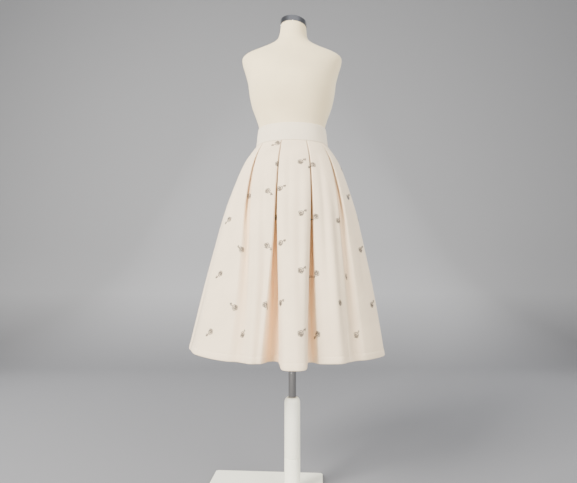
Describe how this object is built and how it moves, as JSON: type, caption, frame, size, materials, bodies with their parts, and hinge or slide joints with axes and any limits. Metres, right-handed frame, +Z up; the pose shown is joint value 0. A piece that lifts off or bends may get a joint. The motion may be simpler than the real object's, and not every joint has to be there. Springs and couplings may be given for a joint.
{
  "type": "embroidered skirt on a dress form",
  "caption": "High-waisted box-pleated midi skirt with a plain waistband and scattered embroidered flowers, on a limbless dress form with an adjustable stand.",
  "frame": {"origin": "on the pole's axis at the underside of the base plate", "axes": "+Z up along the pole, -Y out of the front of the skirt, -X to the left as seen from the front"},
  "size_m": [0.6633, 0.5798, 1.6777],
  "materials": {
    "white_paint": "satin",
    "chrome": "polished",
    "linen": "matte",
    "cloth": "matte",
    "zip_metal": "satin"
  },
  "bodies": {
    "stand": {"base_plate": "white_paint", "post_lower": "white_paint", "post_upper": "white_paint", "post_cap": "white_paint"},
    "pole": {"pole": "chrome"},
    "figure": {"socket": "chrome", "form": "linen", "neck_cap": "chrome", "waistband": "cloth", "skirt_front": "cloth", "skirt_back_left": "cloth", "skirt_back_right": "cloth", "zip_tape": "cloth", "zip_slider": "zip_metal"},
    "zip_pull": {"zip_pull": "zip_metal"}
  },
  "joints": [
    {"name": "pole_slide", "type": "slide", "parent": "stand", "child": "pole", "axis": [0, 0, 1], "range_m": [-0.19, 0.06]},
    {"name": "form_turn", "type": "hinge", "parent": "pole", "child": "figure", "pos_m": [0, 0, 0.92], "axis": [0, 0, 1], "continuous": true},
    {"name": "zip_pull_swing", "type": "hinge", "parent": "figure", "child": "zip_pull", "pos_m": [0, 0.09883, 1.24925], "axis": [1, 0, 0], "range_deg": [0, 160]}
  ]
}
